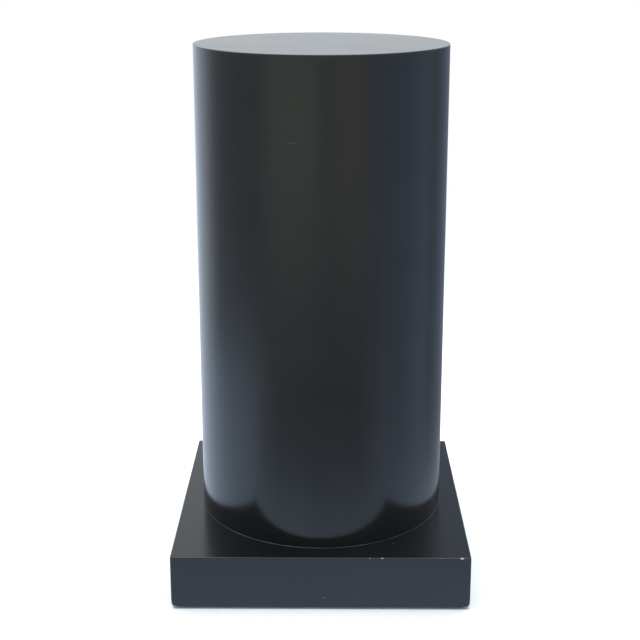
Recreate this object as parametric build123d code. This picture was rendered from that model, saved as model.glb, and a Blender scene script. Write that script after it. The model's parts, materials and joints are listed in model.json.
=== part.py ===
from build123d import *
from math import pi, sqrt
import os

# Display plinth: a lacquered round column that stands on a low square base.
# The base is an open-bottomed box of mitred boards with a levelling foot in each corner.
# The column is a drum: ring formers and battens wrapped in two skins and closed by a cap.
# Millimetres. Z is up, the front faces -Y, and the origin is on the floor under the middle.

# ---- driving dimensions ----

base_side = 500.0
base_height = 92.0
board = 18.0  # thickness of every board and former
foot_projection = 3.0  # how far the feet hold the base off the floor

column_radius = 215.5
column_height = 822.0
inner_skin_thickness = 4.8
outer_skin_thickness = 2.8
glue_line = 0.2  # contact adhesive under each skin

vertical_arris = 1.5  # eased upright edges of the base
top_arris = 1.0  # eased upper edges of the base
bottom_arris = 1.0
cap_arris = 1.2  # eased rim of the cap
bead_leg = 1.3  # lacquered filler bead round the foot of the column

corner_block_side = 60.0
corner_block_setback = 12.0  # from the base's lower edge up to the block
rail_width = 70.0
rail_thickness = 30.0
bolt_offset = 106.0  # column bolts and rails, from the middle

stringer_count = 8
stringer_width = 45.0
stringer_depth = 20.0
former_inner_radius = 150.0
middle_former_count = 2
skin_seam_gap = 1.0
skin_seam_angle = 90.0  # at the rear

# levelling foot: M10 stud that turns in a tee nut and carries a nylon pad
leveller_inset = 48.0  # from the base's side faces to the stud's axis
stud_radius = 5.0
stud_length = 43.0  # shaft above the hexagon
stud_hexagon = 17.0  # across flats
stud_hexagon_height = 4.0
stud_spigot_radius = 4.5
pad_radius = 17.0
pad_height = 8.0
pad_rim_height = 3.0
pad_neck_radius = 11.0
pad_floor = 3.0  # nylon left under the spigot
pad_gap = 0.5  # between the pad and the hexagon, and between the hexagon and its stop
running_clearance = 0.05  # radial

# ---- levels worked out from them ----

base_bottom = foot_projection
base_top = base_bottom + base_height
column_top = base_top + column_height
half = base_side / 2
cavity_half = half - board
cavity_top = base_top - board
cap_bottom = column_top - board
foot_board_top = base_top + board
top_former_bottom = cap_bottom - board
rail_bottom = cavity_top - rail_thickness
block_bottom = base_bottom + corner_block_setback
former_radius = (column_radius - outer_skin_thickness - inner_skin_thickness
                 - 2 * glue_line)
leveller_offset = half - leveller_inset
hexagon_bottom = pad_height + pad_gap
hexagon_top = hexagon_bottom + stud_hexagon_height

nodes = {}  # name of each piece: its shape


# ---- shapes that several pieces use ----

def rod(radius, bottom, top, x=0.0, y=0.0):
    """A round upright solid between two levels."""
    solid = Cylinder(radius, top - bottom, align=(Align.CENTER, Align.CENTER, Align.MIN))
    return Pos(x, y, bottom) * solid


def tube(outer, inner, bottom, top):
    """A round upright wall between two levels."""
    return rod(outer, bottom, top) - rod(inner, bottom, top)


def block(x, y, z):
    """A box from three (low, high) pairs."""
    solid = Box(x[1] - x[0], y[1] - y[0], z[1] - z[0], align=(Align.MIN, Align.MIN, Align.MIN))
    return Pos(x[0], y[0], z[0]) * solid


def turned(points):
    """A solid of revolution about Z from (radius, height) points that close on themselves."""
    return revolve(Plane.XZ * make_face(Polyline(*points, close=True)), Axis.Z)


def hexagon(across_flats, bottom, top, x=0.0, y=0.0):
    """An upright hexagonal prism."""
    outline = RegularPolygon(across_flats / 2, 6, major_radius=False)
    return Pos(x, y, bottom) * extrude(outline, amount=top - bottom)


def wood_screw(length, radius, pocket=0.0):
    """A countersunk screw that points up +Z with its head's flat at zero.
    A pocket carries the head's outline below zero, for cutting the hole."""
    head = 2 * radius
    tip = 2.5 * radius
    points = [(0, -pocket), (head, -pocket), (head, 0), (radius, head - radius)]
    points += [(radius, length - tip), (0, length)]
    if pocket == 0:
        points.remove((head, -pocket))
    return turned(points)


def group(solids):
    """Several separate solids as one piece."""
    return Compound(children=list(solids))


def around(count, first=0.0):
    """Evenly spaced angles about Z, in degrees."""
    return [first + 360.0 * k / count for k in range(count)]


def corners(offset):
    """The four corners of a square about the middle, anticlockwise from front left."""
    return [(-offset, -offset), (offset, -offset), (offset, offset), (-offset, offset)]


# ---- base: four walls and a top, mitred together and lacquered ----

def base_shell():
    """The closed outer form of the base with its eased edges, hollowed from below."""
    form = block((-half, half), (-half, half), (base_bottom, base_top))
    form = fillet(form.edges().filter_by(Axis.Z), vertical_arris)
    form = fillet(form.edges().group_by(Axis.Z)[-1], top_arris)
    form = fillet(form.edges().group_by(Axis.Z)[0], bottom_arris)
    return form - block((-cavity_half, cavity_half), (-cavity_half, cavity_half),
                        (base_bottom, cavity_top))


def top_mitre():
    """The space above the 45 degree mitre planes that the top board's edges lie on."""
    spare = 2.0
    rise = board + spare
    low, high = cavity_half, cavity_half + rise
    outline = Polyline((-low, cavity_top), (low, cavity_top), (high, cavity_top + rise),
                       (-high, cavity_top + rise), close=True)
    ridge = extrude(Plane.XZ * make_face(outline), amount=base_side, both=True)
    return ridge & Rot(0, 0, 90) * ridge


def side_wedge(turn):
    """The quarter of the base in front of the diagonals, turned about Z."""
    outline = Polyline((0, 0), (-base_side, -base_side), (base_side, -base_side), close=True)
    return Rot(0, 0, turn) * extrude(make_face(outline), amount=base_top)


shell = base_shell()
lid_space = top_mitre()
walls = shell - lid_space
for turn, side in enumerate(("front", "right", "rear", "left")):
    nodes[f"base_{side}_board"] = walls & side_wedge(90 * turn)

bolt_clearance_radius = 4.5
bolt_places = corners(bolt_offset)
bolt_holes = [rod(bolt_clearance_radius, rail_bottom, foot_board_top, x, y)
              for x, y in bolt_places]

# two rails under the top board carry the column's bolts and screw up into the board
rail_screw_length = 42.0
rail_screw_radius = 1.75
rail_screw_places = [(x, y) for y in (-bolt_offset, bolt_offset) for x in (-180, 0, 180)]
rail_screws = [Pos(x, y, rail_bottom) * wood_screw(rail_screw_length, rail_screw_radius)
               for x, y in rail_screw_places]
rail_screw_holes = [Pos(x, y, rail_bottom)
                    * wood_screw(rail_screw_length, rail_screw_radius, pocket=1.0)
                    for x, y in rail_screw_places]
nodes["base_top_board"] = (shell & lid_space) - bolt_holes - rail_screw_holes
for name, y in (("rail_front", -bolt_offset), ("rail_rear", bolt_offset)):
    rail = block((-cavity_half, cavity_half), (y - rail_width / 2, y + rail_width / 2),
                 (rail_bottom, cavity_top))
    nodes[name] = rail - bolt_holes - rail_screw_holes
nodes["rail_screws"] = group(rail_screws)

# ---- levelling feet: glued corner blocks, tee nuts, studs and pads ----

tee_flange_radius = 13.0
tee_flange_thickness = 2.0
tee_barrel_radius = 6.0
tee_barrel_length = 13.0
stud_passage_radius = 5.5
stud_passage_spare = 6.0  # blind hole above the retracted stud
stud_chamfer = 1.0
stud_top = hexagon_top + stud_length
flange_bottom = hexagon_top + pad_gap
barrel_bottom = flange_bottom + tee_flange_thickness
barrel_top = barrel_bottom + tee_barrel_length


def leveller_tee_nut(x, y):
    """A flanged threaded insert, driven up into its corner block."""
    body = rod(tee_flange_radius, flange_bottom, barrel_bottom, x, y)
    body += rod(tee_barrel_radius, barrel_bottom, barrel_top, x, y)
    return body - rod(stud_radius + running_clearance, flange_bottom, barrel_top, x, y)


def corner_block(x, y):
    """A softwood block glued into a corner, bored from below for the insert and the stud."""
    outer_x, outer_y = (cavity_half if v > 0 else -cavity_half for v in (x, y))
    inner_x = outer_x - corner_block_side * (1 if x > 0 else -1)
    inner_y = outer_y - corner_block_side * (1 if y > 0 else -1)
    solid = block(sorted((outer_x, inner_x)), sorted((outer_y, inner_y)),
                  (block_bottom, cavity_top))
    solid -= rod(tee_barrel_radius, block_bottom, barrel_top, x, y)
    return solid - rod(stud_passage_radius, barrel_top, stud_top + stud_passage_spare, x, y)


def leveller_stud(x, y):
    """M10 stud: spigot below, hexagon for the spanner, threaded shaft above."""
    shaft = turned([(0, pad_floor), (stud_spigot_radius, pad_floor),
                    (stud_spigot_radius, hexagon_bottom), (stud_radius, hexagon_bottom),
                    (stud_radius, stud_top - stud_chamfer),
                    (stud_radius - stud_chamfer, stud_top), (0, stud_top)])
    return Pos(x, y, 0) * (shaft + hexagon(stud_hexagon, hexagon_bottom, hexagon_top))


def leveller_pad(x, y):
    """Turned nylon pad with a blind socket that the stud's spigot turns in."""
    sole_radius = pad_radius - 1.0
    socket_radius = stud_spigot_radius + running_clearance
    profile = [(0, 0), (sole_radius, 0), (pad_radius, 1.0), (pad_radius, pad_rim_height),
               (pad_neck_radius, pad_height), (socket_radius, pad_height),
               (socket_radius, pad_floor), (0, pad_floor)]
    return Pos(x, y, 0) * turned(profile)


leveller_places = corners(leveller_offset)
for k, (x, y) in enumerate(leveller_places, start=1):
    nodes[f"corner_block_{k}"] = corner_block(x, y)
    nodes[f"leveller_stud_{k}"] = leveller_stud(x, y)
    nodes[f"leveller_pad_{k}"] = leveller_pad(x, y)
nodes["leveller_tee_nuts"] = group(leveller_tee_nut(x, y) for x, y in leveller_places)

# ---- column frame: formers, notched for eight battens, screwed together ----

former_levels = {"foot_board": base_top}
for k, name in enumerate(("lower_former", "upper_former"), start=1):
    pitch = (top_former_bottom - base_top) / (middle_former_count + 1)
    former_levels[name] = base_top + k * pitch
former_levels["top_former"] = top_former_bottom
batten_angles = around(stringer_count)


def batten_space():
    """The bar that a batten fills, at angle zero, run a little past the drum."""
    inner = former_radius - stringer_depth
    return block((inner, former_radius + 1), (-stringer_width / 2, stringer_width / 2),
                 (base_top, cap_bottom))


batten_screw_length = 40.0
batten_screw_radius = 2.0
batten_head_depth = 0.1  # heads sit just under the battens' curved faces


def radial(shape, level, angle):
    """A shape that points up +Z, laid to point at the column's axis from the battens' faces."""
    seat = former_radius - batten_head_depth
    return Rot(0, 0, angle) * Pos(seat, 0, level) * Rot(0, -90, 0) * shape


screw_seats = [(level + board / 2, angle)
               for level in former_levels.values() for angle in batten_angles]
batten_screws = [radial(wood_screw(batten_screw_length, batten_screw_radius), *seat)
                 for seat in screw_seats]
batten_screw_holes = [
    radial(wood_screw(batten_screw_length, batten_screw_radius, pocket=2.0), *seat)
    for seat in screw_seats]

drum = rod(former_radius, base_top, cap_bottom)
batten_spaces = [Rot(0, 0, angle) * batten_space() for angle in batten_angles]

for name, level in former_levels.items():
    former = rod(former_radius, level, level + board) - batten_spaces
    if name != "foot_board":
        former -= rod(former_inner_radius, level, level + board)
    nodes[name] = former - [hole for hole, seat in zip(batten_screw_holes, screw_seats)
                            if level < seat[0] < level + board]

for k, (angle, space) in enumerate(zip(batten_angles, batten_spaces), start=1):
    nodes[f"stringer_{k}"] = (drum & space) - [
        hole for hole, seat in zip(batten_screw_holes, screw_seats) if seat[1] == angle]
nodes["stringer_screws"] = group(batten_screws)

# ---- column bolts: up through rail, top board and foot board into tee nuts ----

bolt_radius = 4.0
bolt_length = 70.0
bolt_head_flats = 13.0
bolt_head_height = 5.3
washer_radius = 12.0
washer_thickness = 2.0
nut_flange_radius = 11.0
nut_flange_thickness = 1.5
nut_barrel_radius = 5.0
nut_barrel_length = 11.0
nut_bore_radius = bolt_radius + 0.1
bolt_seat = rail_bottom - washer_thickness
nut_bottom = foot_board_top - nut_barrel_length
nut_top = foot_board_top + nut_flange_thickness


def column_bolt(x, y):
    """An M8 hexagon-head bolt that points up."""
    return (hexagon(bolt_head_flats, bolt_seat - bolt_head_height, bolt_seat, x, y)
            + rod(bolt_radius, bolt_seat, bolt_seat + bolt_length, x, y))


def bolt_washer(x, y):
    """A wide washer that spreads the bolt's load on the rail."""
    return (rod(washer_radius, bolt_seat, rail_bottom, x, y)
            - rod(bolt_clearance_radius, bolt_seat, rail_bottom, x, y))


def column_tee_nut(x, y):
    """A tee nut hammered down into the foot board, flange inside the column."""
    body = rod(nut_barrel_radius, nut_bottom, foot_board_top, x, y)
    body += rod(nut_flange_radius, foot_board_top, nut_top, x, y)
    return body - rod(nut_bore_radius, nut_bottom, nut_top, x, y)


nodes["foot_board"] -= bolt_holes + [rod(nut_barrel_radius, nut_bottom, foot_board_top, x, y)
                                     for x, y in bolt_places]
nodes["column_bolts"] = group(column_bolt(x, y) for x, y in bolt_places)
nodes["bolt_washers"] = group(bolt_washer(x, y) for x, y in bolt_places)
nodes["column_tee_nuts"] = group(column_tee_nut(x, y) for x, y in bolt_places)

# ---- column skins: bendy plywood, then a smooth face wrapped over it ----

inner_skin_radius = former_radius + glue_line
outer_skin_inner_radius = column_radius - outer_skin_thickness
inner_skin = tube(inner_skin_radius + inner_skin_thickness, inner_skin_radius,
                  base_top, cap_bottom)
seam = block((former_radius - 1, column_radius), (-skin_seam_gap / 2, skin_seam_gap / 2),
             (base_top, cap_bottom))
nodes["inner_skin"] = inner_skin - Rot(0, 0, skin_seam_angle) * seam
# the face skin's scarfed seam is glued and filled, so it closes into one tube
nodes["outer_skin"] = tube(column_radius, outer_skin_inner_radius, base_top, cap_bottom)

# ---- cap: a disc glued on the drum and screwed from below ----

cap_screw_length = 30.0
cap_screw_radius = 1.75
cap_screw_circle = 175.0
cap_screw_places = [Rot(0, 0, angle) * Pos(cap_screw_circle, 0, top_former_bottom)
                    for angle in around(stringer_count, first=180 / stringer_count)]
cap_screws = [place * wood_screw(cap_screw_length, cap_screw_radius)
              for place in cap_screw_places]
cap_screw_holes = [place * wood_screw(cap_screw_length, cap_screw_radius, pocket=1.0)
                   for place in cap_screw_places]
cap = rod(column_radius, cap_bottom, column_top)
cap = fillet(cap.edges().group_by(Axis.Z)[-1], cap_arris)
nodes["cap_disc"] = cap - cap_screw_holes
nodes["top_former"] -= cap_screw_holes
nodes["cap_screws"] = group(cap_screws)

# ---- bead: fine filler fillet where the column meets the base ----

nodes["joint_bead"] = turned([(column_radius, base_top), (column_radius + bead_leg, base_top),
                              (column_radius, base_top + bead_leg)])

# ---- write every piece, and print what a maker would check ----

os.makedirs("parts", exist_ok=True)
for name, shape in nodes.items():
    export_step(shape, f"parts/{name}.step")

lacquered_area = (4 * base_side * base_height + base_side ** 2
                  + 2 * pi * column_radius * column_height)
print(f"{len(nodes)} pieces, overall height {column_top:.0f}, base {base_side:.0f} square, "
      f"column diameter {2 * column_radius:.0f}")
print(f"column's gap to the base's corners {half * sqrt(2) - column_radius:.1f}, "
      f"to its sides {half - column_radius:.1f}; lacquered area {lacquered_area / 1e6:.2f} m2")
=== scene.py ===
import json
import math

import bpy
import numpy as np
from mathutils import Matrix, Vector

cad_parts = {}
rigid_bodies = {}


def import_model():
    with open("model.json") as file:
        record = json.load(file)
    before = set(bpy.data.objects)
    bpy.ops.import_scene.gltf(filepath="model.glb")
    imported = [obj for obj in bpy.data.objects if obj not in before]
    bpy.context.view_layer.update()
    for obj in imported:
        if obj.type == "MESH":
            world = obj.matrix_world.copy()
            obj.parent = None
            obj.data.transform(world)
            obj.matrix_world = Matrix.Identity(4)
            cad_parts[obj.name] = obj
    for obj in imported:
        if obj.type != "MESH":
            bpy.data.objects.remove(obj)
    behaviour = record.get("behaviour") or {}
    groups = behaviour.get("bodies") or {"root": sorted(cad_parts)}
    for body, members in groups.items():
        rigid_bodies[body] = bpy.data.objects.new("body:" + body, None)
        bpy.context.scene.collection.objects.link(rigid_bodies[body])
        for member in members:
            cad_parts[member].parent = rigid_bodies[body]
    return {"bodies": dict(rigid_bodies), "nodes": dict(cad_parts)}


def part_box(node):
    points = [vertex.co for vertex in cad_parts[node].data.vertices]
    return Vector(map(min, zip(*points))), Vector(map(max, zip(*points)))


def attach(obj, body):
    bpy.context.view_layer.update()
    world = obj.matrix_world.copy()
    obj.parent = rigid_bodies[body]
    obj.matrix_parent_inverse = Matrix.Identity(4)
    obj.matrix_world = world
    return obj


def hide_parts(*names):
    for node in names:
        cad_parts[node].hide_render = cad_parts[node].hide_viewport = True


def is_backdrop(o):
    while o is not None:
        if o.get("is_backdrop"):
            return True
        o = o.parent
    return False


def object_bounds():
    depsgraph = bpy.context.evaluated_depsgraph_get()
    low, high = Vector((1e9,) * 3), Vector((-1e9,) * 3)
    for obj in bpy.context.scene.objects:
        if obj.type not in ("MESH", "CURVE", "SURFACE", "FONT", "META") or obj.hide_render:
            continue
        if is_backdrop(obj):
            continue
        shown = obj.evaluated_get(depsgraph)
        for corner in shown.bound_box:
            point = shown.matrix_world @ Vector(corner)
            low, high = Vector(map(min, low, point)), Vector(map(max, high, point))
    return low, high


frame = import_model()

cad_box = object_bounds()

# ---- Base: four walls and a top ----
# 18 mm fibreboard, mitred at 45 degrees and glued, then filled, eased with sandpaper and
# primed grey and sprayed with satin black lacquer, so that no joint shows. Knocks have chipped
# the upper edge to primer or board, and bruised the lower corners.
wall_low, wall_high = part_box("base_front_board")
lid_low, lid_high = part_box("base_top_board")
HALF = -wall_low.y
FOOT_LEVEL = wall_low.z
BASE_TOP = lid_high.z
BOARD = BASE_TOP - lid_low.z
EASING = 0.0012  # radius of the sanded edges
BRUISE = 0.0050  # how much rounder the lower corners are
BRUISE_REACH = 0.016
CHIP_REACH = 0.0032  # no chip reaches further in from its edge than this
SIDE_TURNS = {"front": 0, "right": 1, "rear": 2, "left": 3}
OPPOSITE = {"front": "rear", "right": "left", "rear": "front", "left": "right"}
SHARP_ANGLE = math.radians(35)
FACE_STEP = 0.012  # between grid lines up a wall, away from its edges
RUN_STEP = 0.020  # and along it

# chips on each side's upper edge: (place along the edge, half length, depth), in metres
CHIPS = {
    "front": [(0.2345, 0.0028, 0.0011), (0.1015, 0.0022, 0.0007), (0.0815, 0.0018, 0.0004),
              (0.1995, 0.0009, 0.0003)],
    "right": [(-0.1630, 0.0022, 0.0007), (0.0740, 0.0013, 0.0005)],
    "rear": [(-0.0520, 0.0026, 0.0009), (0.2110, 0.0016, 0.0006)],
    "left": [(0.1270, 0.0019, 0.0006), (-0.2050, 0.0014, 0.0005)],
}
PRIMER_DEPTH = 0.0008  # a chip no deeper than this stops in the grey primer


def edge_lines():
    """Distances in from an edge for grid lines: even turns round the easing, then fine steps
    over the chipped stretch, and wider ones over the bruised stretch."""
    turn = EASING * (1 - np.tan(np.linspace(math.pi / 4, 0, 7)))
    return np.unique(np.concatenate([turn, np.linspace(EASING, CHIP_REACH, 8),
                                     np.linspace(CHIP_REACH, BRUISE_REACH, 10), [0.02]]))


def grid_lines(low, high, step, places=()):
    """Grid lines from low to high: edge lines at both ends, one every step between, and a
    close set round each chipped place, given as (place, half length)."""
    near = edge_lines()
    middle = np.arange(low + near[-1] + step / 2, high - near[-1], step)
    close = [np.linspace(p - 1.3 * w, p + 1.3 * w, 21) for p, w in places]
    return np.unique(np.round(np.concatenate([low + near, high - near, middle, *close]), 6))


def chip_places(side, opposite):
    """Chips on a side and on the one across from it, which runs the other way."""
    own = [(place, half_length) for place, half_length, _ in CHIPS[side]]
    return own + [(-place, half_length) for place, half_length, _ in CHIPS[opposite]]


def turned_quarter(points, quarters):
    """Points turned about Z by so many quarter turns: (x, y) becomes (-y, x) each time."""
    x, y, z = points.T
    for _ in range(quarters):
        x, y = -y, x
    return np.stack([x, y, z], 1)


def rough(points, scale, seed):
    """Smooth noise from -1 to 1: the sum of five sine waves in seeded directions, with
    wavelengths of one to three times the scale."""
    rng = np.random.default_rng(seed)
    total = np.zeros(len(points))
    for _ in range(5):
        way = rng.normal(size=3)
        way /= np.linalg.norm(way) * scale * rng.uniform(1, 3)
        total += np.sin(2 * math.pi * (points @ way) + rng.uniform(0, 2 * math.pi))
    return total / 3


def eased(points):
    """Carries points of the sharp-edged base onto its eased form, and gives the way out of it.
    A point is pulled back to a core box that is smaller by the easing radius, and goes out
    again along the same line by its largest offset, which rounds edges and keeps faces flat.
    The radius grows towards the four lower corners."""
    centre = np.array([0, 0, (FOOT_LEVEL + BASE_TOP) / 2])
    size = np.array([HALF, HALF, (BASE_TOP - FOOT_LEVEL) / 2])
    local = points - centre
    corner = np.where(local < 0, -1, 1) * size
    corner[:, 2] = -size[2]
    gap = np.linalg.norm(local - corner, axis=1)
    near = np.clip(1 - gap / BRUISE_REACH, 0, 1)
    radius = EASING + BRUISE * near ** 2 * (3 - 2 * near)
    core = np.clip(local, -(size - radius[:, None]), size - radius[:, None])
    out = local - core
    length = np.maximum(np.linalg.norm(out, axis=1), 1e-9)
    reach = np.abs(out).max(1)
    return centre + core + out * (reach / length)[:, None], out / length[:, None]


def chipped(points, outward):
    """Sinks the points inside each chip and gives how bare each one is: 0 is lacquer, 0.5 is
    primer and 1 is board. A chip is an ellipsoid on the sharp upper edge whose skin is broken
    up by noise."""
    points = points.copy()
    bare = np.zeros(len(points))
    for side, chips in CHIPS.items():
        for k, (place, half_length, depth) in enumerate(chips):
            centre, along = (turned_quarter(np.array([v]), SIDE_TURNS[side])[0]
                             for v in ((place, -HALF, BASE_TOP), (1.0, 0.0, 0.0)))
            offset = points - centre
            run = offset @ along
            across = np.linalg.norm(offset - run[:, None] * along, axis=1)
            inside = 1 - (run / half_length) ** 2 - (across / (2.2 * depth)) ** 2
            inside += 0.45 * rough(points, half_length, 40 + k) * (inside > -1)
            hollow = np.clip(inside, 0, 1)
            points -= outward * (depth * hollow ** 0.7)[:, None]
            down_to = 1.0 if depth > PRIMER_DEPTH else 0.5
            bare = np.maximum(bare, down_to * np.clip(inside / 0.12, 0, 1))
    return points, bare


def grid_faces(rows, columns, close_rows=False, close_columns=False, start=0):
    """Quads of a grid whose points are stored row by row. A closed way joins its last line to
    its first."""
    i = np.arange(rows if close_rows else rows - 1)
    j = np.arange(columns if close_columns else columns - 1)
    i, j = (a.ravel() for a in np.meshgrid(i, j, indexing="ij"))
    k, m = (i + 1) % rows, (j + 1) % columns
    quads = np.stack([i * columns + j, i * columns + m, k * columns + m, k * columns + j], 1)
    return (quads + start).tolist()


def make_piece(name, points, faces, finish, body, replaces=(), wear_dust_and_sheen=None):
    """A new mesh on its CAD body, smooth but for its sharp edges. Wear, from 0 to 1 at each
    point, tells the finish where it is chipped, or on the bead where dust and a painted
    highlight lie."""
    mesh = bpy.data.meshes.new(name)
    mesh.from_pydata(np.asarray(points).tolist(), [], faces)
    mesh.materials.append(finish)
    mesh.shade_smooth()
    mesh.set_sharp_from_angle(angle=SHARP_ANGLE)
    if wear_dust_and_sheen is not None:
        mesh.attributes.new("wear_dust_and_sheen", "FLOAT", "POINT").data.foreach_set("value", wear_dust_and_sheen)
    piece = bpy.data.objects.new(name, mesh)
    bpy.context.scene.collection.objects.link(piece)
    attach(piece, body)
    if replaces:
        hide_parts(*replaces)
    return piece


class Value:
    """A shader socket that can be reckoned with: each operator adds a Math node."""

    def __init__(self, finish, socket):
        self.finish, self.socket = finish, socket

    def reckoned(self, operation, first, second):
        return self.finish.node("Math", {"operation": operation}, {0: first, 1: second})

    def __add__(self, other):
        return self.reckoned("ADD", self, other)

    def __sub__(self, other):
        return self.reckoned("SUBTRACT", self, other)

    def __mul__(self, other):
        return self.reckoned("MULTIPLY", self, other)

    def __rsub__(self, other):
        return self.reckoned("SUBTRACT", other, self)

    __radd__, __rmul__ = __add__, __mul__


class Finish:
    """The nodes of a material, or of another block that shades, in the making."""

    def __init__(self, block, coordinates="Object"):
        self.block = block
        self.block.use_nodes = True
        self.tree = self.block.node_tree
        self.tree.nodes.clear()
        self.place = self.node("TexCoord", out=coordinates)

    def node(self, kind, settings=None, sockets=None, out=0):
        """Adds a node of a kind. Its settings are set first, then its sockets are given values
        or links. A ramp's stops are (place, colour) pairs."""
        node = self.tree.nodes.new("ShaderNode" + kind)
        settings = dict(settings or {})
        for k, (place, colour) in enumerate(settings.pop("stops", [])):
            stops = node.color_ramp.elements
            stop = stops[k] if k < len(stops) else stops.new(place)
            stop.position, stop.color = place, (*colour, 1)
        for key, value in settings.items():
            setattr(node, key, value)
        for key, value in (sockets or {}).items():
            if isinstance(value, Value):
                self.tree.links.new(value.socket, node.inputs[key])
            else:
                node.inputs[key].default_value = value
        return Value(self, node.outputs[out]) if node.outputs else None

    def noise(self, scale, detail=2.0, roughness=0.5, stretch=(1, 1, 1), out="Fac"):
        """Noise on the object's own coordinates, in cycles a metre, drawn out along an axis."""
        place = self.node("Mapping", sockets={"Vector": self.place, "Scale": stretch})
        return self.node("TexNoise", sockets={"Vector": place, "Scale": scale,
                                              "Detail": detail, "Roughness": roughness}, out=out)

    def soft_step(self, value, low, high, start=0.0, end=1.0):
        """A smooth ramp: start where value is under low, end where it is over high."""
        return self.node("MapRange", {"interpolation_type": "SMOOTHSTEP"},
                         {"Value": value, "From Min": low, "From Max": high,
                          "To Min": start, "To Max": end})

    def blend(self, amount, first, second):
        """A mix of two colours, given as links or as (r, g, b)."""
        first, second = (c if isinstance(c, Value) else (*c, 1) for c in (first, second))
        return self.node("Mix", {"data_type": "RGBA"}, {0: amount, 6: first, 7: second}, out=2)

    def raised(self, height, depth, normal=None):
        """A bump that stands up to depth metres."""
        sockets = {"Height": height, "Strength": 1.0, "Distance": depth}
        return self.node("Bump", sockets=sockets | ({"Normal": normal} if normal else {}))

    def done(self, **sockets):
        """Ends the material with a Principled shader whose sockets are given by name."""
        named = {key.replace("_", " "): value for key, value in sockets.items()}
        shader = self.node("BsdfPrincipled", sockets=named, out="BSDF")
        self.node("OutputMaterial", sockets={"Surface": shader})
        return self.block


BARE_BOARD = (0.56, 0.42, 0.27)
PRIMER = (0.30, 0.30, 0.29)
LACQUER_DARK = (0.0030, 0.0034, 0.0040)
LACQUER_GREY = (0.0055, 0.0061, 0.0068)
SCRATCH_GREY = (0.075, 0.078, 0.080)


def lacquer(name, scratches=()):
    """Satin black lacquer: faint clouds in tone and gloss, the fine ripple of a sprayed coat, a
    few dust nibs, primer or bare board where the attribute says so, and scratches, each given
    as (end, other end, width) in metres."""
    f = Finish(bpy.data.materials.new(name))
    clouds = f.noise(5.0, 3.0)
    rubbed = f.noise(12.0, 3.0, 0.55, stretch=(1, 1, 0.5))
    ripple = f.noise(420.0, 1.5)
    nibs = f.node("TexVoronoi", sockets={"Vector": f.place, "Scale": 24.0}, out="Distance")
    nib = f.soft_step(nibs, 0.012, 0.02, 1.0, 0.0)
    mark = nib * 0.6
    for start, end, width in scratches:
        run = Vector(end) - Vector(start)
        offset = f.node("VectorMath", {"operation": "SUBTRACT"}, {0: f.place, 1: start})
        along = f.node("VectorMath", {"operation": "DOT_PRODUCT"},
                       {0: offset, 1: run / run.length_squared}, out="Value")
        held = f.node("Clamp", sockets={"Value": along})
        foot = f.node("VectorMath", {"operation": "SCALE"}, {0: run, "Scale": held})
        gap = f.node("VectorMath", {"operation": "DISTANCE"}, {0: offset, 1: foot}, out="Value")
        taper = held * (1.0 - held) * 4.0
        mark = mark + f.soft_step(gap, width * 0.25, width * 0.8, 1.0, 0.0) * taper
    worn = f.node("Attribute", {"attribute_name": "wear_dust_and_sheen"}, out="Fac")
    fibre = f.noise(1500.0, 3.0, 0.7)
    tone = f.blend(f.soft_step(clouds, 0.3, 0.75), LACQUER_DARK, LACQUER_GREY)
    marked = f.blend(f.node("Clamp", sockets={"Value": mark}), tone, SCRATCH_GREY)
    board = f.blend(fibre, [0.7 * c for c in BARE_BOARD], BARE_BOARD)
    under_coat = f.blend(f.soft_step(worn, 0.55, 0.9), PRIMER, board)
    chipped_off = f.soft_step(worn, 0.1, 0.4)
    gloss = f.soft_step(rubbed, 0.25, 0.75, 0.185, 0.205) + mark * 0.1
    return f.done(
        Base_Color=f.blend(chipped_off, marked, under_coat),
        Roughness=f.node("Mix", {"data_type": "FLOAT"}, {0: chipped_off, 2: gloss, 3: 0.85}),
        IOR=1.5,
        Normal=f.raised(ripple + nib, 0.000004),
    )


base_lacquer = lacquer("base_lacquer", [
    ((0.001, -HALF, 0.0212), (0.0105, -HALF, 0.0222), 0.0013),
    ((0.121, -0.197, BASE_TOP), (0.126, -0.199, BASE_TOP), 0.0010),
    ((HALF, 0.044, 0.0400), (HALF, 0.062, 0.0440), 0.0006),
    ((-0.083, HALF, 0.0550), (-0.101, HALF, 0.0500), 0.0006),
])

face_lines = grid_lines(FOOT_LEVEL, BASE_TOP, FACE_STEP)[::-1]
underside = np.concatenate([edge_lines()[1:-1], [BOARD]])
inner_lines = np.linspace(FOOT_LEVEL, BASE_TOP - BOARD, 6)[1:]
section = np.concatenate([  # the wall's outline, as (depth in from the face, height)
    np.stack([0 * face_lines, face_lines], 1),
    np.stack([underside, 0 * underside + FOOT_LEVEL], 1),
    np.stack([0 * inner_lines + BOARD, inner_lines], 1),
])

for side, quarters in SIDE_TURNS.items():
    # the section carried along the wall; its length shrinks with depth, which mitres the ends
    share = grid_lines(-HALF, HALF, RUN_STEP, chip_places(side, OPPOSITE[side])) / HALF
    depth, height = section.T
    x = share[:, None] * (HALF - depth)[None, :]
    y = np.broadcast_to(depth - HALF, x.shape)
    z = np.broadcast_to(height, x.shape)
    points = turned_quarter(np.stack([x, y, z], 2).reshape(-1, 3), quarters)
    points, outward = eased(points)
    points, bare = chipped(points, outward)
    count = len(section)
    faces = grid_faces(len(share), count, close_columns=True)
    faces.append(list(range(count))[::-1])
    faces.append([len(share) * count - count + k for k in range(count)])
    make_piece(f"{side}_wall", points, faces, base_lacquer, "root",
               [f"base_{side}_board"], bare)

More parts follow.
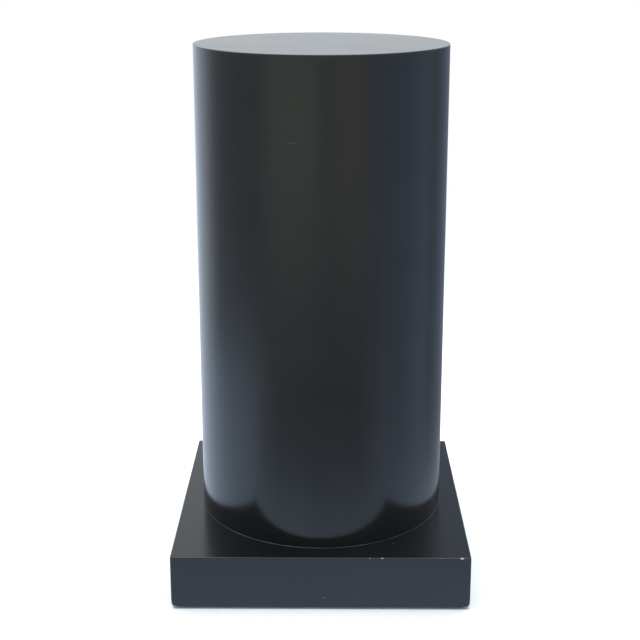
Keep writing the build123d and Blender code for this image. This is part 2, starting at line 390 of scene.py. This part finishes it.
# the top board: a gridded upper face, four mitres, and a lower face that they make smaller
x_share = grid_lines(-HALF, HALF, RUN_STEP, chip_places("front", "rear")) / HALF
y_share = grid_lines(-HALF, HALF, RUN_STEP, chip_places("right", "left")) / HALF
x, y = np.meshgrid(x_share, y_share, indexing="ij")
rows, columns = x.shape
index = np.arange(rows * columns).reshape(rows, columns)
rim = np.concatenate([index[:-1, 0], index[-1, :-1], index[:0:-1, -1], index[0, :0:-1]])
upper = np.stack([x * HALF, y * HALF, 0 * x + BASE_TOP], 2).reshape(-1, 3)
lower = upper[rim] * (1 - BOARD / HALF)
lower[:, 2] = BASE_TOP - BOARD
points, outward = eased(np.concatenate([upper, lower]))
points, bare = chipped(points, outward)
under = np.arange(len(rim)) + rows * columns
faces = grid_faces(rows, columns)
faces = [face[::-1] for face in faces]
mitres = np.stack([rim, under, np.roll(under, -1), np.roll(rim, -1)], 1)
faces += mitres.tolist() + [under[::-1].tolist()]
make_piece("top_board", points, faces, base_lacquer, "root", ["base_top_board"],
           bare)

# ---- Inside the base: rails, corner blocks and their screws ----
# Two planed softwood rails carry the column's bolts, glued and screwed up into the top board.
# A softwood block glued into each corner stiffens the mitres and takes a foot's tee nut.
SAPWOOD = (0.64, 0.47, 0.29)
LATEWOOD = (0.42, 0.26, 0.13)


def softwood(name, grain):
    """Planed pine whose grain runs along an axis: growth rings round a pith that lies outside
    the piece, and short pores drawn out along the grain."""
    f = Finish(bpy.data.materials.new(name))
    drawn = [0.06 if axis == grain else 1.0 for axis in "XYZ"]
    off_pith = f.node("Mapping", sockets={"Vector": f.place, "Location": (0.31, 0.27, 0.23),
                                          "Scale": drawn})
    rings = f.node("TexWave", {"wave_type": "RINGS", "rings_direction": grain},
                   {"Vector": off_pith, "Scale": 55.0, "Distortion": 2.5, "Detail": 3.0,
                    "Detail Scale": 1.2}, out="Fac")
    pores = f.noise(900.0, 2.0, 0.6, [0.04 if axis == grain else 1.0 for axis in "XYZ"])
    late = f.soft_step(rings, 0.35, 0.95)
    tone = f.blend(late, SAPWOOD, LATEWOOD)
    shade = f.blend(f.soft_step(pores, 0.45, 0.75, 0.0, 0.35), tone, LATEWOOD)
    return f.done(Base_Color=shade, Roughness=late * -0.12 + 0.68,
                  Normal=f.raised(pores + late, 0.00012))


def plated(name, bright, dull):
    """Zinc plated steel: small crystals in two tones, and a duller film here and there."""
    f = Finish(bpy.data.materials.new(name))
    crystal = f.node("TexVoronoi", sockets={"Vector": f.place, "Scale": 900.0}, out="Color")
    film = f.soft_step(f.noise(160.0, 3.0, 0.6), 0.35, 0.7)
    speck = f.node("SeparateColor", sockets={"Color": crystal}, out="Red")
    return f.done(Base_Color=f.blend(film * 0.6 + speck * 0.4, bright, dull), Metallic=1.0,
                  Roughness=film * 0.18 + speck * 0.06 + 0.28,
                  Normal=f.raised(speck, 0.00001))


def finish_nodes(finish, *names):
    """Gives CAD pieces that keep their own shape a finish."""
    for name in names:
        for held in frame["nodes"][name].material_slots:
            held.material = finish


yellow_zinc = plated("yellow_zinc", (0.78, 0.62, 0.30), (0.52, 0.38, 0.18))
bright_zinc = plated("bright_zinc", (0.70, 0.72, 0.75), (0.42, 0.44, 0.47))
upright_pine = softwood("upright_pine", "Z")
finish_nodes(softwood("rail_pine", "X"), "rail_front", "rail_rear")
finish_nodes(upright_pine, *(f"corner_block_{k}" for k in range(1, 5)))
finish_nodes(yellow_zinc, "rail_screws")

# ---- Levelling feet ----
# An M10 stud with a hexagon and a turned spigot runs in a steel tee nut driven into each
# corner block. The spigot turns in a moulded black nylon pad that stands on the floor.
PAD_POINTS = 96
THREAD_POINTS = 40
THREAD_PITCH = 0.0015
THREAD_DEPTH = 0.0009
NYLON = (0.020, 0.020, 0.021)
NYLON_WORN = (0.048, 0.047, 0.046)
PAD_RIM = 0.003  # height of the pad's rim
PAD_NECK = 0.011  # radius of its neck
PAD_SOCKET = 0.00455  # radius of the hole for the spigot
SOCKET_FLOOR = 0.003
SOLE_GROOVE = 0.0003  # depth between the moulded rings that grip the floor
SOLE_RINGS = (0.004, 0.007, 0.010, 0.013)
SPIGOT = 0.0045
SHAFT = 0.005
HEXAGON = 0.0085  # half the distance across its flats
HEXAGON_LOW = 0.0085
HEXAGON_HIGH = 0.0125
HEXAGON_CROWN = 1.03  # chamfered corners end this much outside the flats
STUD_CHAMFER = 0.0010


def spun(profile, count, at=(0.0, 0.0), start=0.0):
    """A closed skin turned about an upright axis: point (r, z) of the profile goes to
    (x + r cos a, y + r sin a, z) for count even angles a. The profile runs out along the
    bottom, up the outside and in again. Ends on the axis become single points, and any other
    ends are joined to each other."""
    profile = np.asarray(profile, float)
    poles = profile[0, 0] == 0
    ring = profile[1:-1] if poles else profile
    angle = start + np.arange(count) * 2 * math.pi / count
    x = at[0] + ring[:, 0] * np.cos(angle)[:, None]
    y = at[1] + ring[:, 0] * np.sin(angle)[:, None]
    points = np.stack([x, y, np.broadcast_to(ring[:, 1], x.shape)], 2).reshape(-1, 3)
    faces = grid_faces(count, len(ring), close_rows=True, close_columns=not poles)
    if poles:
        ends = [[*at, profile[0, 1]], [*at, profile[-1, 1]]]
        points = np.concatenate([points, ends])
        k = np.arange(count)
        low, high = k * len(ring), k * len(ring) + len(ring) - 1
        first, last = 0 * k + len(points) - 2, 0 * k + len(points) - 1
        faces += np.stack([first, low, np.roll(low, -1)], 1).tolist()
        faces += np.stack([last, np.roll(high, -1), high], 1).tolist()
    return points, [face[::-1] for face in faces]


def rounded(profile, radius, steps=5):
    """Rounds a profile's inner corners: each becomes a quadratic curve from a point one radius
    before it to one a radius after it, or half its side's length if that is shorter."""
    corners = np.asarray(profile, float)
    line = [corners[:1]]
    for before, corner, after in zip(corners, corners[1:], corners[2:]):
        ends = []
        for other in (before, after):
            side = other - corner
            length = np.linalg.norm(side)
            ends.append(corner + side * min(radius / length, 0.49))
        t = np.linspace(0, 1, steps)[:, None]
        line.append((1 - t) ** 2 * ends[0] + 2 * t * (1 - t) * corner + t ** 2 * ends[1])
    return np.concatenate([*line, corners[-1:]])


def moulded_nylon():
    """Black nylon: a fine spark-eroded texture, paler where the sole and rim have rubbed."""
    f = Finish(bpy.data.materials.new("moulded_nylon"))
    grain = f.noise(2600.0, 2.0)
    level = f.node("SeparateXYZ", sockets={"Vector": f.place}, out="Z")
    rubbed = f.soft_step(level, 0.0002, 0.0022, 1.0, 0.0) * f.soft_step(f.noise(350.0), 0.4, 0.6)
    return f.done(Base_Color=f.blend(rubbed, NYLON, NYLON_WORN),
                  Roughness=rubbed * 0.2 + grain * 0.12 + 0.42,
                  Normal=f.raised(grain, 0.00003))


nylon = moulded_nylon()
for k in range(1, 5):
    low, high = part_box(f"leveller_pad_{k}")
    centre = ((low.x + high.x) / 2, (low.y + high.y) / 2)
    pad_radius = (high.x - low.x) / 2
    sole = [(0, SOLE_GROOVE)]
    for ring in SOLE_RINGS:
        sole += [(ring, SOLE_GROOVE), (ring + 0.0002, 0), (ring + 0.0014, 0),
                 (ring + 0.0016, SOLE_GROOVE)]
    outline = sole + [(pad_radius - 0.0018, SOLE_GROOVE), (pad_radius - 0.0016, 0),
                      (pad_radius - 0.0010, 0), (pad_radius, 0.0010), (pad_radius, PAD_RIM),
                      (PAD_NECK, high.z), (PAD_SOCKET, high.z), (PAD_SOCKET, SOCKET_FLOOR),
                      (0, SOCKET_FLOOR)]
    points, faces = spun(rounded(outline, 0.0004), PAD_POINTS, centre)
    make_piece(f"nylon_pad_{k}", points, faces, nylon, f"foot_pad_{k}",
               [f"leveller_pad_{k}"])

    # the stud, turned: spigot, hexagon with chamfered corners, and a thread cut to a helix
    low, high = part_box(f"leveller_stud_{k}")
    angle = (np.arange(THREAD_POINTS * 3) + 0.5) * 2 * math.pi / (THREAD_POINTS * 3)
    across = HEXAGON / np.cos((angle + math.pi / 6) % (math.pi / 3) - math.pi / 6)
    flat = np.minimum(across, HEXAGON * HEXAGON_CROWN)
    rings = [(0 * angle + SPIGOT - 0.0004, low.z), (0 * angle + SPIGOT, low.z + 0.0004),
             (0 * angle + SPIGOT, HEXAGON_LOW), (flat, HEXAGON_LOW),
             (across, HEXAGON_LOW + 0.0006), (across, HEXAGON_HIGH - 0.0006),
             (flat, HEXAGON_HIGH)]
    levels = np.arange(HEXAGON_HIGH + 0.0008, high.z - STUD_CHAMFER, THREAD_PITCH / 6)
    rings.append((0 * angle + SHAFT - THREAD_DEPTH, HEXAGON_HIGH))
    for level in levels:
        turn = (level / THREAD_PITCH - angle / (2 * math.pi)) % 1
        cut = THREAD_DEPTH * np.abs(2 * turn - 1)
        fade = min(1, (high.z - STUD_CHAMFER - level) / THREAD_PITCH)
        rings.append((SHAFT - cut - (1 - fade) * (THREAD_DEPTH - cut), level))
    rings.append((0 * angle + SHAFT - STUD_CHAMFER, high.z))
    radii = np.stack([ring for ring, _ in rings], 1)
    heights = np.array([level for _, level in rings])
    x = centre[0] + radii * np.cos(angle)[:, None]
    y = centre[1] + radii * np.sin(angle)[:, None]
    points = np.stack([x, y, np.broadcast_to(heights, x.shape)], 2).reshape(-1, 3)
    faces = grid_faces(len(angle), len(rings), close_rows=True)
    ends = np.arange(len(angle)) * len(rings)
    faces += [ends.tolist(), (ends + len(rings) - 1)[::-1].tolist()]
    make_piece(f"threaded_stud_{k}", points, [face[::-1] for face in faces], bright_zinc,
               f"foot_screw_{k}", [f"leveller_stud_{k}"])

finish_nodes(bright_zinc, "leveller_tee_nuts")

# ---- Foot board, column bolts, washers and tee nuts ----
# The column's lowest board, with sawn edges. Four M8 bolts come up through the rails and the
# base's top board into tee nuts in it, and clamp the column to the base.


def raw_board():
    """Medium density fibreboard as sawn: tan felted fibres with darker fine flecks, in broad
    patches of tone.
    """
    f = Finish(bpy.data.materials.new("raw_board"))
    felt = f.noise(1300.0, 3.0, 0.7)
    patches = f.noise(14.0, 3.0)
    tone = f.blend(patches, (0.40, 0.27, 0.16), (0.52, 0.37, 0.23))
    return f.done(Base_Color=f.blend(felt * 0.5, tone, (0.30, 0.19, 0.10)),
                  Roughness=felt * 0.1 + 0.78, Normal=f.raised(felt, 0.00008))


fibreboard = raw_board()
finish_nodes(fibreboard, "foot_board")
finish_nodes(bright_zinc, "column_bolts", "bolt_washers", "column_tee_nuts")

# ---- Drum: ring formers, stringers and their screws ----
# Three sawn rings keep the drum round. Eight softwood battens are let into notches in them,
# glued, and screwed through.
finish_nodes(fibreboard, "lower_former", "upper_former", "top_former")
finish_nodes(upright_pine, *(f"stringer_{k}" for k in range(1, 9)))
finish_nodes(yellow_zinc, "stringer_screws")

# ---- Inner skin ----
# Bending plywood wrapped once round the battens and pinned, with its long grain upright and
# a narrow open joint at the rear.


def bending_plywood():
    """Pale rotary-cut veneer: broad wavy figure and fine pores, both drawn out upright."""
    f = Finish(bpy.data.materials.new("bending_plywood"))
    figure = f.noise(26.0, 3.0, 0.55, (1, 1, 0.12))
    pores = f.noise(1100.0, 2.0, 0.6, (1, 1, 0.03))
    tone = f.blend(f.soft_step(figure, 0.35, 0.7), (0.60, 0.40, 0.25), (0.74, 0.55, 0.37))
    return f.done(Base_Color=f.blend(f.soft_step(pores, 0.5, 0.75, 0.0, 0.4), tone,
                                     (0.36, 0.22, 0.12)),
                  Roughness=pores * 0.1 + 0.66, Normal=f.raised(pores, 0.00006))


finish_nodes(bending_plywood(), "inner_skin")

# ---- Outer skin ----
# A thin hard face skin glued round the inner one. Its scarfed seam at the rear is filled,
# rubbed down and lacquered over, and only a faint line of it shows.
skin_low, skin_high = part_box("outer_skin")
SKIN_RADIUS = skin_high.x
SKIN_THICKNESS = 0.0028
SKIN_POINTS = 512
WAVE = 0.00005  # hand sanding leaves the wall this much less than round
SEAM_WIDTH = 0.004
SEAM_SINK = 0.00004


def rubbed_down(points):
    """Draws wall points in towards the axis by a slow waviness and by the filled seam's slight
    sinkage at the rear, a bell curve of the distance round the wall from it."""
    radius = np.hypot(points[:, 0], points[:, 1])
    wall = radius > SKIN_RADIUS - 0.0005
    wave = WAVE * (0.5 + 0.5 * rough(points * (1, 1, 0.5), 0.06, 7))
    round_wall = points[:, 0] + 0.0006 * np.sin(points[:, 2] * 9)
    seam = SEAM_SINK * np.exp(-(round_wall / SEAM_WIDTH) ** 2) * (points[:, 1] > 0)
    pull = 1 - wall * (wave + seam) / np.maximum(radius, 0.01)
    return points * np.stack([pull, pull, 1 + 0 * pull], 1)


column_lacquer = lacquer("column_lacquer", [
    ((-0.0550, -0.2084, 0.7820), (-0.0330, -0.2130, 0.7805), 0.0006),
    ((-0.0480, -0.2101, 0.8480), (-0.0470, -0.2103, 0.8490), 0.0010),
    ((-0.0230, -0.2143, 0.5080), (-0.0220, -0.2144, 0.5086), 0.0010),
    ((0.1745, -0.1265, 0.1045), (0.1757, -0.1248, 0.1055), 0.0014),
    ((0.2090, -0.0526, 0.0995), (0.2095, -0.0505, 0.1003), 0.0014),
    ((0.2050, -0.0660, 0.6100), (0.2110, -0.0430, 0.6060), 0.0005),
    ((0.0900, 0.1958, 0.3400), (0.0720, 0.2031, 0.3480), 0.0005),
    ((-0.1500, 0.1547, 0.7000), (-0.1660, 0.1374, 0.6960), 0.0005),
])
levels = np.linspace(skin_low.z, skin_high.z, 121)
outside = np.stack([0 * levels + SKIN_RADIUS, levels], 1)
inside = np.stack([0 * levels[::12] + SKIN_RADIUS - SKIN_THICKNESS, levels[::12]], 1)
points, faces = spun(np.concatenate([outside, inside[::-1]]), SKIN_POINTS)
make_piece("column_wall", rubbed_down(points), faces, column_lacquer, "root", ["outer_skin"])

# ---- Cap ----
# A disc of 18 mm board screwed to the top former from below and flushed to the wall. Its rim is
# eased with sandpaper, and it is lacquered with the wall as one.
cap_low, cap_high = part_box("cap_disc")
CAP_EASING = 0.0012

turn = np.linspace(0, math.pi / 2, 8)
easing = np.stack([SKIN_RADIUS - CAP_EASING * (1 - np.sin(turn)),
                   cap_high.z - CAP_EASING * (1 - np.cos(turn))], 1)
face = np.linspace(0, SKIN_RADIUS - CAP_EASING, 37)
face = np.stack([face, 0 * face + cap_high.z], 1)
rim_levels = np.linspace(cap_high.z - CAP_EASING, cap_low.z, 4)
wall = np.stack([np.full(len(rim_levels), SKIN_RADIUS), rim_levels], 1)
underneath = face[::-6] * (1, 0) + (0, cap_low.z)
profile = np.concatenate([face[:-1], easing, wall[1:], underneath])
points, faces = spun(profile[::-1], SKIN_POINTS)
make_piece("cap", rubbed_down(points), faces, column_lacquer, "root", ["cap_disc"])
finish_nodes(yellow_zinc, "cap_screws")

# ---- Bead ----
# A thin fillet of lacquered filler, drawn round the foot of the column with a fingertip. It is
# a little uneven and holds dust from the cloth, and a highlight is painted on it at the front
# left.
bead_low, bead_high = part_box("joint_bead")
BEAD_LEG = bead_high.z - bead_low.z
BEAD_POINTS = 720
# pale colour of the dust, and of the painted highlight on the bead
DUST_AND_SHEEN = (0.085, 0.090, 0.095)
PAINTED_SHEEN_AT = math.radians(248)  # centre of the painted highlight on the bead: the front left, from the right and anticlockwise
PAINTED_SHEEN_WIDTH = math.radians(30)
BLOB_AT = math.radians(255)
BLOB_WIDTH = math.radians(1.6)

angle = np.arange(BEAD_POINTS) * 2 * math.pi / BEAD_POINTS
circle = np.stack([np.cos(angle), np.sin(angle), 0 * angle], 1)
uneven = 0.5 + 0.5 * rough(circle * SKIN_RADIUS, 0.02, 12)
leg = BEAD_LEG * (0.50 + 0.30 * uneven)
t = np.linspace(0, math.pi / 2, 7)
hollow_out = 1 - np.sin(t)  # quarter circle, hollow side out, from the wall to the base
hollow_up = 1 - np.cos(t)
out = SKIN_RADIUS + leg[:, None] * np.concatenate([hollow_up, [0]])[None, :]
height = bead_low.z + leg[:, None] * np.concatenate([hollow_out, [0]])[None, :]
points = np.stack([out * circle[:, :1], out * circle[:, 1:2], height], 2).reshape(-1, 3)
faces = grid_faces(BEAD_POINTS, len(t) + 1, close_rows=True, close_columns=True)
# painted highlight: the bead is made paler towards the front left, where the light falls; the
# uneven share and the blob are dust
painted_sheen = np.exp(-((angle - PAINTED_SHEEN_AT) / PAINTED_SHEEN_WIDTH) ** 2)
blob = np.exp(-((angle - BLOB_AT) / BLOB_WIDTH) ** 2)
dust_and_sheen = np.clip(0.08 * uneven + 0.4 * painted_sheen + 0.8 * blob, 0, 1)


def dusty_filler_with_sheen():
    """Lacquered filler with pale dust held in it and a painted highlight in the same pale
    colour, both more where the attribute says so.
    """
    f = Finish(bpy.data.materials.new("dusty_filler_with_sheen"))
    # this attribute holds the dust and the painted highlight
    dust = f.node("Attribute", {"attribute_name": "wear_dust_and_sheen"}, out="Fac")
    caught_dust_and_sheen = dust * f.soft_step(f.noise(700.0, 3.0, 0.65), 0.3, 0.6, 0.5, 1.0)
    return f.done(Base_Color=f.blend(caught_dust_and_sheen, LACQUER_GREY, DUST_AND_SHEEN),
                  Roughness=caught_dust_and_sheen * 0.35 + 0.28, Specular_IOR_Level=0.3,
                  Normal=f.raised(f.noise(900.0, 2.0), 0.00004))


make_piece("foot_bead", points, faces, dusty_filler_with_sheen(), "root", ["joint_bead"],
           np.repeat(dust_and_sheen, len(t) + 1))

# ---- Studio: floor, room, lamp and camera ----
# A pale floor that fades into a white room, a wide soft lamp overhead, and a few soft-edged
# things standing round the room for the lacquer to mirror.
FLOOR_RADIUS = 3.0
FLOOR_SOLID = 1.5  # the floor starts to fade at this radius
FLOOR_POINTS = 96
FLOOR_RINGS = 12

radius = np.linspace(0, FLOOR_RADIUS, FLOOR_RINGS + 1)[1:]
angle = np.arange(FLOOR_POINTS) * 2 * math.pi / FLOOR_POINTS
x = radius * np.cos(angle)[:, None]
y = radius * np.sin(angle)[:, None]
points = np.concatenate([np.stack([x, y, 0 * x], 2).reshape(-1, 3), [[0, 0, 0]]])
faces = [q[::-1] for q in grid_faces(FLOOR_POINTS, FLOOR_RINGS, close_rows=True)]
ring = np.arange(FLOOR_POINTS) * FLOOR_RINGS
middle = np.full(FLOOR_POINTS, FLOOR_POINTS * FLOOR_RINGS)
faces += np.stack([middle, ring, np.roll(ring, -1)], 1).tolist()
floor_mesh = bpy.data.meshes.new("floor")
floor_mesh.from_pydata(points.tolist(), [], faces)
floor = bpy.data.objects.new("floor", floor_mesh)
floor.visible_glossy = False  # the lacquer mirrors the room's own floor instead
bpy.context.scene.collection.objects.link(floor)
floor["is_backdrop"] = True
for k in range(1, 5):  # the floor stays under the lowest foot when they are screwed out
    under_foot = floor.constraints.new("FLOOR")
    under_foot.target = frame["bodies"][f"foot_pad_{k}"]
    under_foot.floor_location = "FLOOR_NEGATIVE_Z"

paper = Finish(bpy.data.materials.new("floor_paper"))
reach = paper.node("VectorMath", {"operation": "LENGTH"}, {0: paper.place}, out="Value")
fibres = paper.noise(900.0, 3.0, 0.6)
floor_mesh.materials.append(paper.done(
    Base_Color=paper.blend(fibres, (0.84, 0.845, 0.85), (0.88, 0.885, 0.89)), Roughness=0.9,
    Alpha=paper.soft_step(reach, FLOOR_SOLID, FLOOR_RADIUS * 0.97, 1.0, 0.0)))

LOW_ROOM = (0.45, 0.50, 0.55)
HIGH_ROOM = (0.90, 0.95, 1.00)
WINDOW_LIGHT = (1.00, 1.15, 1.35)
PALE_FLOOR = (1.05, 1.30, 1.65)
SUNLIT_FLOOR = (1.80, 2.25, 2.80)
SHADED_FLOOR = (0.10, 0.12, 0.10)
WARM_WALL = (1.05, 1.10, 0.90)
DIM_WALL = (0.75, 0.75, 0.65)
COOL_WALL = (0.50, 0.60, 0.80)
DARK_CORNER = (0.25, 0.30, 0.40)

# What stands round the room, each thing over the ones before it: (colour, bearing of its
# middle, half its width, its soft border, its lower and upper limit, the soft border there).
# Bearings are in degrees from the front, right being positive. Limits are sines of elevation.
ROOM = [
    (WINDOW_LIGHT, -155, 20, 35, -0.60, 0.05, 0.05),
    (WARM_WALL, -25, 10, 30, -0.35, 0.05, 0.25),
    (DIM_WALL, 25, 5, 25, -0.35, 0.05, 0.20),
    (COOL_WALL, 80, 15, 35, -0.45, 0.05, 0.05),
    (DARK_CORNER, 145, 20, 20, -0.45, 0.05, 0.10),
    (PALE_FLOOR, -100, 25, 30, -0.60, -0.30, 0.05),
    (SHADED_FLOOR, 0, 30, 30, -0.50, -0.30, 0.10),
    (PALE_FLOOR, 0, 180, 0, -1.00, -0.42, 0.03),
    (SUNLIT_FLOOR, -35, 10, 25, -0.46, -0.43, 0.01),
    (DARK_CORNER, 165, 10, 10, 0.25, 0.60, 0.10),
]
LAMP_SIZE = (3.0, 2.2)
LAMP_HEIGHT = 2.3
LAMP_POWER = 80.0
LAMP_PLACE = (-0.15, 0.1, LAMP_HEIGHT)
LAMP_COLOUR = (0.93, 0.98, 1.0)

room = Finish(bpy.data.worlds.new("room"), "Generated")
right, back, rise = (room.node("SeparateXYZ", sockets={"Vector": room.place}, out=axis)
                     for axis in "XYZ")
bearing = room.node("Math", {"operation": "ARCTAN2"}, {0: right, 1: back * -1.0})
light = room.blend(room.soft_step(rise, -0.05, 0.05), LOW_ROOM, HIGH_ROOM)
for colour, middle, half_width, border, low, high, border_up in ROOM:
    aside = room.node("Math", {"operation": "WRAP"},
                      {0: bearing * math.degrees(1) - middle, 1: 180.0, 2: -180.0})
    aside = room.node("Math", {"operation": "ABSOLUTE"}, {0: aside})
    cover = room.soft_step(aside, half_width, half_width + border + 0.1, 1.0, 0.0)
    cover = cover * room.soft_step(rise, low, low + border_up)
    cover = cover * room.soft_step(rise, high - border_up, high, 1.0, 0.0)
    light = room.blend(cover, light, colour)
seen = room.node("LightPath", out="Is Camera Ray")
backdrop = room.node("Background", sockets={"Color": room.blend(seen, light, (1, 1, 1))},
                     out="Background")
room.node("OutputWorld", sockets={"Surface": backdrop})
bpy.context.scene.world = room.block

lamp_data = bpy.data.lights.new("overhead_lamp", "AREA")
lamp_data.shape = "RECTANGLE"
lamp_data.size, lamp_data.size_y = LAMP_SIZE
lamp_data.energy = LAMP_POWER
lamp_data.color = LAMP_COLOUR
lamp = bpy.data.objects.new("overhead_lamp", lamp_data)
lamp.location = LAMP_PLACE
lamp.visible_camera = False
bpy.context.scene.collection.objects.link(lamp)

CAMERA_DISTANCE = 2.163
CAMERA_HEIGHT = 1.103
CAMERA_PITCH = math.radians(15.0)
CAMERA_ROUND = math.radians(0.37)  # how far round to the right of square on it stands
CAMERA_ASIDE = -0.0025
LENS = 71.63
LENS_SHIFT = -0.0797

camera_data = bpy.data.cameras.new("camera")
camera_data.sensor_width = 36.0
camera_data.lens = LENS
camera_data.shift_y = LENS_SHIFT
camera = bpy.data.objects.new("camera", camera_data)
across, back = CAMERA_ASIDE, -CAMERA_DISTANCE
camera.location = (across * math.cos(CAMERA_ROUND) - back * math.sin(CAMERA_ROUND),
                   across * math.sin(CAMERA_ROUND) + back * math.cos(CAMERA_ROUND),
                   CAMERA_HEIGHT)
camera.rotation_euler = (math.pi / 2 - CAMERA_PITCH, 0, CAMERA_ROUND)
bpy.context.scene.collection.objects.link(camera)
bpy.context.scene.camera = camera
bpy.context.scene.view_settings.view_transform = "Standard"

sizes = {"cad_box": cad_box, "visual_box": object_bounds()}
sizes = {name: [list(corner) for corner in box] for name, box in sizes.items()}
